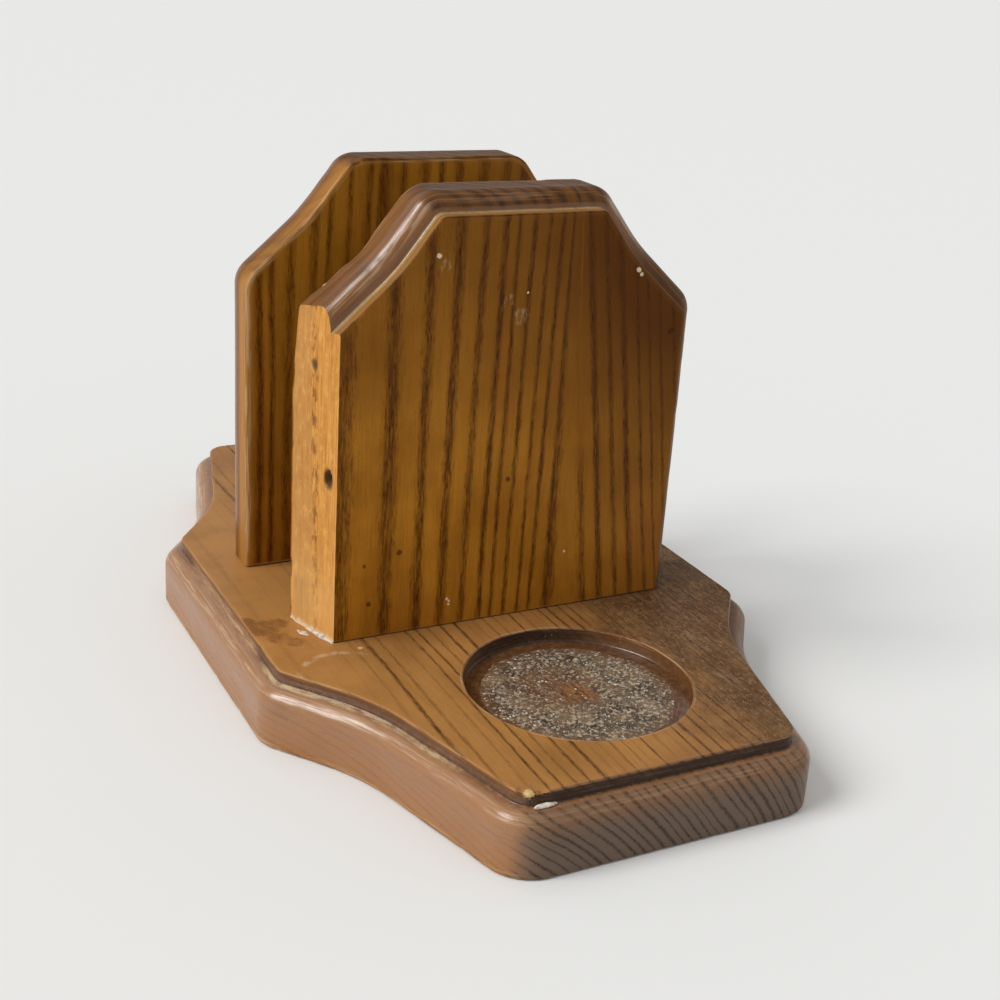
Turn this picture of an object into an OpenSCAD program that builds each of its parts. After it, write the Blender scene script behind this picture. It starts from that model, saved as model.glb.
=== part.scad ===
// Free-standing wooden napkin holder: a long shaped base board, two upright panels with a slot
// between them, and a shallow round recess in each end of the base.
// Frame: origin on the table under the middle of the base, +X to the right, -Y to the front, +Z up.
// Millimetres.

/* [Base board] */
// Width of the base across its wide middle
base_w = 150.5; // [138:0.5:170]
// Length of the base from its front end to its rear end
base_l = 250; // [240:1:300]
// Thickness of the base board
base_t = 20; // [17:0.5:26]
// Length of the straight side along the wide middle
side_l = 93; // [84:1:104]
// Width of the straight edge at each end
nose_w = 84.5; // [76:0.5:94]
// How far the hollow bend of the outline lies in from the wide side
bend_in = 18; // [14:0.5:20]
// How far the hollow bend lies past the end of the straight side
bend_run = 24; // [20:0.5:30]
// Radius of the base's rounded corners
base_corner_r = 12; // [9:0.5:15]
// Radius of the hollow bend in the base's outline
base_bend_r = 60; // [40:1:80]

/* [Moulded edge] */
// Height of the small upright step at the inner side of the moulding
step_h = 3.5; // [2:0.25:5]
// Radius of the round-over outside the step
round_r = 5; // [3:0.25:6.5]

/* [Upright panels] */
// Width of each panel
panel_w = 113; // [104:1:122]
// Height of each panel above the base
panel_h = 118; // [100:1:150]
// Thickness of each panel
panel_t = 18; // [15:0.5:22]
// Width of the napkin slot between the two panels
slot_w = 35.5; // [28:0.5:42]
// How far both panels stand to the right of the base's middle; less than 0 is to the left
panel_off = -1.75; // [-3:0.25:3]
// Width of the panel's straight top edge
panel_top_w = 52; // [48:1:60]
// How far the panel's shoulders lie below its top
shoulder_drop = 32; // [28:0.5:40]
// How far the hollow bend lies in from the panel's side
panel_bend_in = 18.5; // [15:0.5:21]
// How far the hollow bend lies above the shoulder
panel_bend_up = 16.5; // [13:0.5:19]
// Radius of the panel's rounded corners
panel_corner_r = 8; // [7:0.5:10]
// Radius of the hollow bend in the panel's outline
panel_bend_r = 60; // [30:1:70]
// How far the split left edge of the front panel lies in past the moulding, at the front face
split_in = 1.5; // [1.25:0.25:3]
// How far the split left edge lies in from the panel's side, at its rear face
split_back_in = 0.75; // [0.5:0.25:2]

/* [Round recesses] */
// Diameter of each round recess
recess_d = 59.5; // [50:0.5:62]
// Depth of each round recess
recess_depth = 4; // [3:0.25:6]
// Gap from a panel's outer face to the rim of the recess in front of it
recess_gap = 11; // [6:0.5:14]

/* [Screws] */
// Diameter of the screw shank
screw_d = 4.2; // [3.5:0.1:5]
// Length of each screw from its head to its tip
screw_l = 40; // [32:1:50]
// Length of the screw's pointed tip
tip_l = 6; // [4:0.5:8]
// Diameter of the screw head
head_d = 8.4; // [7:0.1:9.5]
// Width of each slot of the cross in the screw head
drive_w = 1.2; // [0.8:0.1:1.6]
// Length of each slot of the cross in the screw head
drive_l = 4.6; // [3.5:0.1:5.5]
// Depth of the cross in the screw head
drive_depth = 1.6; // [1:0.1:2]
// Depth of the head below the underside of the base
head_sink = 4; // [2:0.5:6]
// Diameter of the plain hole that sinks the head
sink_d = 9.6; // [9:0.1:11]
// Distance between the two screws of a panel
screw_spacing = 64; // [50:1:80]
// Radial clearance of a screw in its hole
screw_clear = 0.05; // [0.02:0.01:0.1]
// Depth of the pilot hole beyond the tip of the screw
pilot_extra = 2; // [1:0.5:4]

/* [Hidden] */

WOOD_BASE = [0.60, 0.40, 0.20];
WOOD_PANEL = [0.52, 0.33, 0.12];
STEEL = [0.72, 0.70, 0.62];

round_steps = 5;                            // flats along the round-over's quarter circle
corner_steps = 5;                           // flats around a rounded corner
bend_steps = 4;                             // flats around a hollow bend
over = 1;                                   // how far a cutter runs past the face it opens

panel_y = slot_w / 2 + panel_t / 2;         // middle of a panel's thickness
panel_face_y = slot_w / 2 + panel_t;        // outer face of a panel
recess_y = panel_face_y + recess_gap + recess_d / 2;
recess_floor = base_t - recess_depth;

screw_r = screw_d / 2;
hole_r = screw_r + screw_clear;
head_r = head_d / 2;
head_h = head_r - screw_r;                  // a 90 degree countersunk head
tip_z = head_sink + screw_l;

// Unit vector along v
function unit(v) = v / norm(v);

// Points round the corner at v, between its neighbours p and n, on an anticlockwise outline.
// r is the corner's own radius; the outline is drawn in by inset.
function corner(p, v, n, r, inset, steps) =
    let (
        d1 = unit(v - p),
        d2 = unit(n - v),
        n1 = [-d1[1], d1[0]],
        n2 = [-d2[1], d2[0]],
        sweep = atan2(d1[0] * d2[1] - d1[1] * d2[0], d1 * d2),
        side = sweep > 0 ? 1 : -1,
        centre = v + side * r * (n1 + n2) / (1 + n1 * n2),
        start = atan2(-side * n1[1], -side * n1[0])
    )
    [for (i = [0 : steps])
        let (a = start + sweep * i / steps)
        centre + (r - side * inset) * [cos(a), sin(a)]];

// Points mirrored front to back or right to left, with their order kept anticlockwise
function turned_back(points) = [for (p = points) [p[0], -p[1]]];
function turned_over(points) = [for (p = points) [-p[0], p[1]]];
function reversed(points) = [for (i = [len(points) - 1 : -1 : 0]) points[i]];

// A whole outline from its right half, which runs from its lowest y to its highest
function whole(half) = concat(half, reversed(turned_over(half)));

// One quarter of the base's outline, from the wide right side round to the rear end
function base_quarter(inset) =
    let (
        side_mid = [base_w / 2, 0],
        wide = [base_w / 2, side_l / 2],
        bend = [base_w / 2 - bend_in, side_l / 2 + bend_run],
        nose = [nose_w / 2, base_l / 2],
        end_mid = [0, base_l / 2]
    )
    concat(
        corner(side_mid, wide, bend, base_corner_r, inset, corner_steps),
        corner(wide, bend, nose, base_bend_r, inset, bend_steps),
        corner(bend, nose, end_mid, base_corner_r, inset, corner_steps));

function base_outline(inset) =
    let (quarter = base_quarter(inset))
    whole(concat(reversed(turned_back(quarter)), quarter));

// Right half of a panel's outline, standing on y = 0; its foot is not moulded
function panel_half(inset) =
    let (
        foot = [panel_w / 2, 0],
        shoulder = [panel_w / 2, panel_h - shoulder_drop],
        bend = shoulder + [-panel_bend_in, panel_bend_up],
        top = [panel_top_w / 2, panel_h],
        top_mid = [0, panel_h]
    )
    concat(
        [[panel_w / 2 - inset, 0]],
        corner(foot, shoulder, bend, panel_corner_r, inset, corner_steps),
        corner(shoulder, bend, top, panel_bend_r, inset, bend_steps),
        corner(bend, top, top_mid, panel_corner_r, inset, corner_steps));

function panel_outline(inset) = whole(panel_half(inset));

// Inset and height, above the foot of the round-over, of its flat number s
function round_inset(s) = round_r * (1 - cos(90 * s / round_steps));
function round_height(s) = round_r * sin(90 * s / round_steps);

// Triangles across the ring that starts at point first, between its right and its left half
function cap(first, count) = [
    for (i = [0 : count / 2 - 2])
    let (a = first + i, b = first + count - 1 - i)
    each [[a, a + 1, b], [b, a + 1, b - 1]]
];

// A closed skin through rings of points, all with the same number of points
module loft(rings) {
    count = len(rings[0]);
    last = len(rings) - 1;
    points = [for (ring = rings) each ring];
    sides = [
        for (k = [0 : last - 1])
        for (i = [0 : count - 1])
        let (a = k * count + i, b = k * count + (i + 1) % count)
        each [[a, a + count, b], [b, a + count, b + count]]
    ];
    top = [for (t = cap(last * count, count)) reversed(t)];
    polyhedron(points, concat(cap(0, count), sides, top));
}

// A board with the step and round-over along its upper edge. outlines run from the full
// outline to the one drawn in by the round-over.
module moulded_board(thickness, outlines) {
    round_foot = thickness - step_h - round_r;
    linear_extrude(round_foot) polygon(outlines[0]);
    loft([for (s = [0 : round_steps])
        [for (p = outlines[s]) [p[0], p[1], round_foot + round_height(s)]]]);
    linear_extrude(thickness) polygon(outlines[round_steps]);
}

// The hole for one screw, from the underside of the base to the end of the pilot hole
module screw_hole() {
    translate([0, 0, -over]) cylinder(h = head_sink + over, d = sink_d);
    translate([0, 0, head_sink]) cylinder(h = head_h, r1 = head_r + screw_clear, r2 = hole_r);
    cylinder(h = tip_z + pilot_extra, r = hole_r);
}

module at_screws(side) {
    for (end = [-1, 1]) translate([panel_off + end * screw_spacing / 2, side * panel_y, 0]) children();
}

module base_board() {
    color(WOOD_BASE)
    difference() {
        moulded_board(base_t, [for (s = [0 : round_steps]) base_outline(round_inset(s))]);
        for (side = [-1, 1]) {
            translate([0, side * recess_y, recess_floor]) cylinder(h = recess_depth + over, d = recess_d);
            at_screws(side) screw_hole();
        }
    }
}

// A panel standing on the base with its moulded face to the front
module panel_board() {
    translate([panel_off, -slot_w / 2, base_t])
    rotate([90, 0, 0])
    moulded_board(panel_t, [for (s = [0 : round_steps]) panel_outline(round_inset(s))]);
}

// The wedge that has split away along the left edge, widest at the front face
module split_wedge() {
    front = [-panel_w / 2 + round_r + split_in, -panel_face_y];
    rear = [-panel_w / 2 + split_back_in, -slot_w / 2];
    reach = (rear - front) / 5;
    outside = [-panel_w, 0];
    translate([panel_off, 0, base_t - over])
    linear_extrude(panel_h + 2 * over)
    polygon([front - reach, rear + reach, rear + reach + outside, front - reach + outside]);
}

module front_panel() {
    color(WOOD_PANEL)
    difference() {
        panel_board();
        split_wedge();
        at_screws(-1) screw_hole();
    }
}

module rear_panel() {
    color(WOOD_PANEL)
    difference() {
        mirror([0, 1, 0]) panel_board();
        at_screws(1) screw_hole();
    }
}

// A countersunk wood screw, driven up from below
module screw() {
    color(STEEL)
    difference() {
        union() {
            translate([0, 0, head_sink]) cylinder(h = head_h, r1 = head_r, r2 = screw_r);
            translate([0, 0, head_sink]) cylinder(h = screw_l - tip_l, r = screw_r);
            translate([0, 0, tip_z - tip_l]) cylinder(h = tip_l, r1 = screw_r, r2 = screw_r / 8);
        }
        for (turn = [0, 90]) rotate([0, 0, turn])
            translate([-drive_l / 2, -drive_w / 2, head_sink - over])
            cube([drive_l, drive_w, drive_depth + over]);
    }
}

module placed_screw(side, end) {
    translate([panel_off + end * screw_spacing / 2, side * panel_y, 0]) screw();
}

base_board();
front_panel();
rear_panel();
placed_screw(-1, -1);  // front_screw_left
placed_screw(-1, 1);  // front_screw_right
placed_screw(1, -1);  // rear_screw_left
placed_screw(1, 1);  // rear_screw_right
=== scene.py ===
# %% [markdown]
# # A worn wooden napkin holder
# The real object is three boards of stained and lacquered ring-porous wood: a long base with a
# shallow round recess at each end, and two upright panels with a napkin slot between them. The
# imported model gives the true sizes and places. This scene rebuilds the boards as finer meshes on
# the same measurements, with eased edges and small damage, and gives every surface a node finish.

import math

import bmesh
import bpy
import numpy as np
from mathutils import Matrix, Vector, noise


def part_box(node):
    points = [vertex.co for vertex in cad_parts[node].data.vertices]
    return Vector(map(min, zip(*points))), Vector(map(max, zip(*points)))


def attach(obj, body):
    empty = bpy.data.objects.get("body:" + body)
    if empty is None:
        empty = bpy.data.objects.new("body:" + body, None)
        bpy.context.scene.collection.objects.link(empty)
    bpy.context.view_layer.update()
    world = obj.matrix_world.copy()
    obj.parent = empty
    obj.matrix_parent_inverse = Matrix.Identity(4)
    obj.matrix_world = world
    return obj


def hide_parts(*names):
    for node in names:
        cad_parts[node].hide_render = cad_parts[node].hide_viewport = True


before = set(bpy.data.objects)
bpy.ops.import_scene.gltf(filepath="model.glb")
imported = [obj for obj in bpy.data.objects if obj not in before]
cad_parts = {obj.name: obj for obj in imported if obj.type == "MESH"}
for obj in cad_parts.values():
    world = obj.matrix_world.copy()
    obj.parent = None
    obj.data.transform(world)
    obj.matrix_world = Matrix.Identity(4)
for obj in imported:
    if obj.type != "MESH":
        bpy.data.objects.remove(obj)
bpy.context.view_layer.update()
MM = 0.001

# %% [markdown]
# ## Sizes
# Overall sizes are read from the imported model, so the scene follows it. The few sizes that a box
# can't tell, such as the round-over's radius, are named here once, in millimetres.

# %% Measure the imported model
base_low, base_high = (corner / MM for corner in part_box("base_board"))
front_low, front_high = (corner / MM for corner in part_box("front_panel"))
rear_low, rear_high = (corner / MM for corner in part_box("rear_panel"))

BASE_W = base_high.x - base_low.x
BASE_L = base_high.y - base_low.y
BASE_T = base_high.z - base_low.z
PANEL_W = rear_high.x - rear_low.x
PANEL_H = rear_high.z - rear_low.z
PANEL_T = rear_high.y - rear_low.y
SLOT = rear_low.y - front_high.y
FACE_Y = front_low.y
PANEL_X = (rear_low.x + rear_high.x) / 2  # the panels stand a little left of the base's middle

STEP = 3.5  # height of the small upright step
ROUND = 5.0  # radius of the round-over outside the step
SPLIT_IN = 1.5  # how far the split lies in past the moulding at the front face
SPLIT_BACK_IN = 0.75  # how far it lies in from the side at the rear face
RECESS_R, RECESS_DEPTH, RECESS_GAP = 29.75, 4.0, 11.0
RECESS_Y = -FACE_Y + RECESS_GAP + RECESS_R
SCREW_X = 32.0
SCREW_Y = SLOT / 2 + PANEL_T / 2
print("base", round(BASE_W, 1), round(BASE_L, 1), round(BASE_T, 1))
print("panel", round(PANEL_W, 1), round(PANEL_H, 1), round(PANEL_T, 1), "slot", round(SLOT, 1))

# %% [markdown]
# ## Outlines
# Each board was sawn to a pattern: straight runs joined by rounded corners and hollow bends.
# A pattern is a short list of corners with a radius each. Drawing the same pattern in by a few
# millimetres gives the next contour of the moulding, point for point, so the contours can be
# joined into a skin. Long runs are divided too, because dents need points to act on.


# %% Pattern to contour
class Pattern:
    """A closed, anticlockwise outline of (x, y, radius) corners that can be drawn in."""

    ARC_STEPS = 14
    PITCH = 1.6

    def __init__(self, corners):
        self.corners = corners
        arcs = self.arcs(0.0, 0.0)
        self.runs = [
            max(1, round(np.linalg.norm(arcs[(k + 1) % len(arcs)][0] - arc[-1]) / self.PITCH))
            for k, arc in enumerate(arcs)
        ]

    def arcs(self, inset, foot_inset):
        """The points of each corner. A run between two corners of no radius is the foot."""
        count = len(self.corners)
        found = []
        for k, (x, y, radius) in enumerate(self.corners):
            at = np.array([x, y])
            before = np.array(self.corners[k - 1][:2])
            after_corner = self.corners[(k + 1) % count]
            after = np.array(after_corner[:2])
            into = (at - before) / np.linalg.norm(at - before)
            out = (after - at) / np.linalg.norm(after - at)
            left_in, left_out = np.array([-into[1], into[0]]), np.array([-out[1], out[0]])
            if radius:
                sweep = math.atan2(into[0] * out[1] - into[1] * out[0], into @ out)
                side = 1 if sweep > 0 else -1
                centre = at + side * radius * (left_in + left_out) / (1 + left_in @ left_out)
                start = math.atan2(-side * left_in[1], -side * left_in[0])
                angles = start + sweep * np.linspace(0, 1, self.ARC_STEPS + 1)
                circle_points = np.stack([np.cos(angles), np.sin(angles)], 1)
                found.append(centre + (radius - side * inset) * circle_points)
            else:
                first = foot_inset if not self.corners[k - 1][2] else inset
                second = foot_inset if not after_corner[2] else inset
                lean = left_in @ left_out
                shift = (first - second * lean) * left_in + (second - first * lean) * left_out
                found.append((at + shift / (1 - lean * lean))[None])
        return found

    def contour(self, inset, foot_inset=0.0):
        arcs = self.arcs(inset, foot_inset)
        points = []
        for k, arc in enumerate(arcs):
            points.extend(arc)
            target = arcs[(k + 1) % len(arcs)][0]
            for step in range(1, self.runs[k]):
                points.append(arc[-1] + (target - arc[-1]) * step / self.runs[k])
        return np.array(points)

    def trips(self):
        """How far round each point lies, told as a place on a circle as long as the outline."""
        points = self.contour(0.0)
        steps = np.linalg.norm(np.roll(points, -1, 0) - points, axis=1)
        turn = 2 * math.pi * (np.cumsum(steps) - steps) / steps.sum()
        return steps.sum() / (2 * math.pi) * np.stack([np.cos(turn), np.sin(turn)], 1)


def both_halves(right):
    """A symmetric pattern from the corners of its right half, lowest first."""
    return Pattern(right + [(-x, y, radius) for x, y, radius in reversed(right)])


# %% The two patterns
SIDE_L, NOSE_W, BEND_IN, BEND_RUN = 93.0, 84.5, 18.0, 24.0
rear_quarter = [
    (BASE_W / 2, SIDE_L / 2, 12.0),
    (BASE_W / 2 - BEND_IN, SIDE_L / 2 + BEND_RUN, 60.0),
    (NOSE_W / 2, BASE_L / 2, 12.0),
]
base_pattern = both_halves([(x, -y, r) for x, y, r in reversed(rear_quarter)] + rear_quarter)

PANEL_TOP_W, SHOULDER_DROP, PANEL_BEND_IN, PANEL_BEND_UP = 52.0, 32.0, 18.5, 16.5
shoulder = PANEL_H - SHOULDER_DROP
panel_pattern = both_halves(
    [
        (PANEL_W / 2, 0.0, 0.0),
        (PANEL_W / 2, shoulder, 8.0),
        (PANEL_W / 2 - PANEL_BEND_IN, shoulder + PANEL_BEND_UP, 60.0),
        (PANEL_TOP_W / 2, PANEL_H, 8.0),
    ]
)
print("points round the base:", len(base_pattern.contour(0)))
print("points round a panel:", len(panel_pattern.contour(0)))

# %% [markdown]
# ## The moulded edge
# A router cut the edge: a round-over, then a small upright step to the flat. On the real boards
# no edge is knife sharp, so each gets a small radius, and the corner under the step is painted
# darker.
# The section is a list of (inset, height) points. Four masks travel with it for the finishes: how
# much a point belongs to the moulding, how exposed to wear it is, which also places painted
# highlights, how sheltered, and whether it lies on the upright step. The distance along the
# section and the place round the outline go too, so that a finish can draw streaks which follow
# the edge.

# %% Section of the moulding
TOP_EASE, CREASE = 0.7, 0.35
BASE_FOOT_EASE, PANEL_BACK_EASE = 0.6, 1.0  # radius of the edge opposite the moulding
SUPPORT = 1.0  # a last ring this far inside an eased edge keeps the flat shaded flat
SHELTER_FROM = 2.6  # how far in on the round-over the sheltered band beside the step begins


def quarter(steps):
    """Angles of a quarter turn, first to last."""
    return np.linspace(0, math.pi / 2, steps + 1)


def with_distance(rows):
    """Adds to each row how far along the section it lies."""
    steps = [0.0] + [math.dist(row[:2], after[:2]) for row, after in zip(rows, rows[1:])]
    return [(*row, way) for row, way in zip(rows, np.cumsum(steps))]


def moulding_section(thickness, ease):
    """Rows of (inset, height, moulding, wear, shelter, riser, distance), lower face first."""
    foot = thickness - STEP - ROUND
    ledge = thickness - STEP
    rows = [(ease + SUPPORT, 0.0, 0, 0, 0, 0)]
    for a in quarter(5):
        rows.append((ease * (1 - math.sin(a)), ease * (1 - math.cos(a)), 0.7, 0.6, 0, 0))
    for h in np.linspace(ease, foot, 7)[1:]:
        rows.append((0.0, h, 0.85 + 0.15 * (h / foot) ** 2, 0.1, 0, 0))
    reach = ROUND - CREASE
    for a in np.linspace(0, math.acos(1 - reach / ROUND), 15)[1:]:
        worn = 0.5 * math.sin(2 * a) ** 2
        inset = ROUND * (1 - math.cos(a))
        near_step = 0.6 * max(0.0, inset - SHELTER_FROM) / (reach - SHELTER_FROM)
        rows.append((inset, foot + ROUND * math.sin(a), 1, worn, near_step, 0))
    for a, riser in zip(quarter(4)[1:], (0.1, 0.3, 0.6, 1)):
        inset = reach + CREASE * math.sin(a)
        rows.append((inset, ledge + CREASE * (1 - math.cos(a)), 1, 0, 1, riser))
    rows.append((ROUND, ledge + 0.5 * STEP, 1, 0, 0.5, 1))
    # The wear on the top ease also places a painted highlight line along the top edge of the face.
    top_wear_and_highlight, top_riser = (0.1, 0.3, 0.36, 0.33, 0.2, 0), (1, 0.8, 0.3, 0, 0, 0)
    for a, worn, riser in zip(quarter(5), top_wear_and_highlight, top_riser):
        inset = ROUND + TOP_EASE * (1 - math.cos(a))
        rows.append((inset, thickness - TOP_EASE * (1 - math.sin(a)), 0.3, worn, 0, riser))
    rows.append((ROUND + TOP_EASE + SUPPORT, thickness, 0, 0, 0, 0))
    return with_distance(rows)


# %% [markdown]
# ## Joining contours into a skin
# Each contour becomes a ring of vertices, neighbouring rings are joined by four-sided faces, and
# the flats are filled between whatever rings bound them, such as the outline and a round recess.


# %% Skin helpers
class Skin:
    """A closed mesh made of rings, with the masks stored on its points."""

    MASKS = ("moulding", "wear", "shelter", "riser", "distance", "trip_x", "trip_y")

    def __init__(self):
        self.mesh = bmesh.new()
        self.layers = [self.mesh.verts.layers.float.new(name) for name in self.MASKS]

    def ring(self, points, masks=(), trips=None):
        made = []
        for k, p in enumerate(points):
            v = self.mesh.verts.new(p)
            trip = () if trips is None else trips[k]
            for layer, value in zip(self.layers, (*masks, *trip)):
                v[layer] = value
            made.append(v)
        return made

    def bridge(self, first, second):
        count = len(first)
        for k in range(count):
            n = (k + 1) % count
            self.mesh.faces.new((first[k], first[n], second[n], second[k]))

    def bridge_all(self, rings):
        for first, second in zip(rings, rings[1:]):
            self.bridge(first, second)

    def fan(self, ring, centre, masks=()):
        middle = self.ring([centre], masks)[0]
        for k, v in enumerate(ring):
            self.mesh.faces.new((v, ring[(k + 1) % len(ring)], middle))

    def fill(self, *rings):
        """Fills the flat between an outer ring and any rings inside it."""
        edges = []
        for ring in rings:
            for k, v in enumerate(ring):
                edges.append(self.mesh.edges.get((v, ring[(k + 1) % len(ring)])))
        bmesh.ops.triangle_fill(self.mesh, edges=edges, use_beauty=True)

    def closed(self):
        bmesh.ops.recalc_face_normals(self.mesh, faces=self.mesh.faces)
        return all(edge.is_manifold for edge in self.mesh.edges)


def circle(centre_x, centre_y, radius, height, steps):
    turn = np.linspace(0, 2 * math.pi, steps, endpoint=False)
    return [
        (centre_x + radius * math.cos(a), centre_y + radius * math.sin(a), height) for a in turn
    ]


# %% [markdown]
# ## Wear
# Years of use round an edge unevenly and knock small chips out of it. Every point is moved a
# little along its normal: a slow swell everywhere, so that reflections wander as they do on real
# wood, a deeper bite where the wear mask is strong, a dent at each listed chip, and a soft rub
# along each listed run of edge.


# %% Wear a skin
def past_segment(p, start, end):
    """How far a point lies from a straight run between two others."""
    along = end - start
    share = (p - start).dot(along) / along.length_squared
    return (p - start - along * min(1.0, max(0.0, share))).length


def weather(skin, chips=(), rubs=(), seed=0.0, swell=0.05, bite=0.38):
    """Moves the points of a skin, in millimetres. A chip is (x, y, z, radius, depth).

    A rub is a run of edge that handling has rounded: (start, end, radius, depth).
    """
    mesh, wear = skin.mesh, skin.layers[1]
    mesh.normal_update()
    moves = []
    for v in mesh.verts:
        p = v.co
        here = p / 24 + Vector((seed, seed, seed))
        move = swell * noise.noise(here)
        near = noise.noise(p / 5 + Vector((0, seed, 3))) + 0.5 * noise.noise(p / 1.7)
        move -= v[wear] * bite * max(0.0, near - 0.05)
        for x, y, z, radius, depth in chips:
            away = (p - Vector((x, y, z))).length / radius
            if away < 1:
                ragged = 1 + 0.5 * noise.noise(p * 1.3)
                move -= depth * ragged * (1 - away * away)
        for start, end, radius, depth in rubs:
            away = past_segment(p, start, end) / radius
            if away < 1:
                move -= depth * (1 - away * away) ** 2
        moves.append(v.normal * move)
    for v, move in zip(mesh.verts, moves):
        v.co += move


def finished_object(name, skin, smooth_below=32):
    """The skin as a Blender object in metres, smooth except across sharp edges."""
    mesh = bpy.data.meshes.new(name)
    bmesh.ops.scale(skin.mesh, vec=(MM, MM, MM), verts=skin.mesh.verts)
    skin.mesh.to_mesh(mesh)
    skin.mesh.free()
    mesh.shade_smooth()
    mesh.set_sharp_from_angle(angle=math.radians(smooth_below))
    made = bpy.data.objects.new(name, mesh)
    bpy.context.scene.collection.objects.link(made)
    print(name, "has", len(mesh.vertices), "points")
    return made


# %% [markdown]
# ## The base board
# The base is the moulding's rings from the underside to the top flat. The top is filled round two
# round recesses and four screw holes, and the underside round the four wells that sink the screw
# heads. Each recess and hole is its own little stack of circles.

# %% Base board
SCREW_HOLE_R, WELL_R, WELL_DEPTH, HEAD_HOLE_R = 2.15, 4.8, 4.0, 4.25
RIM_EASE, FOOT_FILLET, WELL_EASE = 0.45, 0.8, 0.3
RECESS_STEPS, SCREW_STEPS = 128, 40  # points round a recess and round a screw hole

base_skin = Skin()
base_rings = []
for inset, height, *masks in moulding_section(BASE_T, BASE_FOOT_EASE):
    flat = base_pattern.contour(inset)
    ring = [(x, y, height) for x, y in flat]
    base_rings.append(base_skin.ring(ring, masks, base_pattern.trips()))
base_skin.bridge_all(base_rings)

recess_rims = []
floor_z = BASE_T - RECESS_DEPTH
for side in (-1, 1):
    rows = [(RECESS_R + RIM_EASE + SUPPORT, BASE_T, 0, 0, 0, 0)]
    for a, riser in zip(quarter(4), (0, 0, 0.2, 0.6, 1)):
        rim = RECESS_R + RIM_EASE * (1 - math.sin(a))
        rows.append((rim, BASE_T - RIM_EASE * (1 - math.cos(a)), 0.3, 0.6, 0, riser))
    for h in np.linspace(BASE_T - RIM_EASE, floor_z + FOOT_FILLET, 4)[1:]:
        rows.append((RECESS_R, h, 1, 0, 0.4, 0.9))
    for a in quarter(4)[1:]:
        foot = RECESS_R - FOOT_FILLET * (1 - math.cos(a))
        rows.append((foot, floor_z + FOOT_FILLET * (1 - math.sin(a)), 1, 0, 0.9, 1))
    for r in np.linspace(RECESS_R - FOOT_FILLET, 2, 15)[1:]:
        rows.append((r, floor_z, 0.9, 0, 0.9, 1))
    trips = np.array(circle(0, 0, RECESS_R, 0, RECESS_STEPS))[:, :2]
    rings = [
        base_skin.ring(circle(0, side * RECESS_Y, r, h, RECESS_STEPS), masks, trips)
        for r, h, *masks in with_distance(rows)
    ]
    base_skin.bridge_all(rings)
    base_skin.fan(rings[-1], (0, side * RECESS_Y, floor_z), rows[-1][2:])
    recess_rims.append(rings[0])

well_rims, hole_rims = [], []
for x in (PANEL_X - SCREW_X, PANEL_X + SCREW_X):
    for y in (-SCREW_Y, SCREW_Y):
        taper = HEAD_HOLE_R - SCREW_HOLE_R
        stack = [
            (WELL_R + WELL_EASE, 0.0),
            (WELL_R, WELL_EASE),
            (WELL_R, WELL_DEPTH),
            (HEAD_HOLE_R, WELL_DEPTH),
            (SCREW_HOLE_R, WELL_DEPTH + taper),
            (SCREW_HOLE_R, BASE_T),
        ]
        rings = [base_skin.ring(circle(x, y, r, h, SCREW_STEPS)) for r, h in stack]
        base_skin.bridge_all(rings)
        well_rims.append(rings[0])
        hole_rims.append(rings[-1])
base_skin.fill(base_rings[-1], *recess_rims, *hole_rims)
base_skin.fill(base_rings[0], *well_rims)
print("base is closed:", base_skin.closed())

# %% [markdown]
# The knocks on the base follow the photograph: a bite out of the top edge at the front left
# corner, small chips along the left side, a few dents on the round-over of the front end, and one
# on the right. Each is one row of a list, so another can be added without touching the shape.

# %% Wear the base
base_chips = [
    (-34.0, -119.4, 19.6, 2.6, 1.1),
    (-37.2, -117.2, 19.6, 1.9, 0.6),
    (-70.5, -30.0, 19.2, 1.6, 0.5),
    (-62.0, -61.0, 18.6, 1.5, 0.5),
    (-24.0, -121.5, 18.9, 1.3, 0.4),
    (-5.0, -119.6, 19.8, 1.6, 0.35),
    (18.0, -119.5, 19.7, 1.4, 0.4),
    (60.0, -72.0, 18.6, 1.6, 0.45),
]
weather(base_skin, base_chips, seed=1.0)
base = finished_object("base_wood", base_skin)

# %% [markdown]
# ## The upright panels
# Both panels were sawn to one pattern and moulded on the face that looks outwards. The same
# builder makes both: `facing` is -1 for the front panel and +1 for the rear one, which turns the
# section's height into a distance from the slot towards the outside.

# %% Panel builder
FOOT_EASE = 0.35


def panel_skin(facing):
    skin = Skin()
    rings = []
    for inset, out, *masks in moulding_section(PANEL_T, PANEL_BACK_EASE):
        flat_ring = inset > ROUND + TOP_EASE or (inset > PANEL_BACK_EASE and out == 0)
        foot = FOOT_EASE + (SUPPORT if flat_ring else 0)
        if PANEL_BACK_EASE < out < PANEL_T - TOP_EASE:
            foot = 0.0
        contour = panel_pattern.contour(inset, foot)
        y = facing * (SLOT / 2 + out)
        ring = [(PANEL_X + u, y, BASE_T + v) for u, v in contour]
        rings.append(skin.ring(ring, masks, panel_pattern.trips()))
    skin.bridge_all(rings)
    skin.fill(rings[0])
    skin.fill(rings[-1])
    print("panel is closed:", skin.closed())
    return skin


# %% [markdown]
# ## The split edge
# The front panel has lost the moulded strip along its left side. The split runs from the rear
# edge to just inside the front flat, so the skin is cut by an upright plane. Near its top the
# crack ran deeper into the rear edge, so a second, leaning plane takes a little more there. The
# cuts are capped, divided into a fine grid and roughened with long upright fibres, with one small
# knot hole sunk into them.

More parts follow.
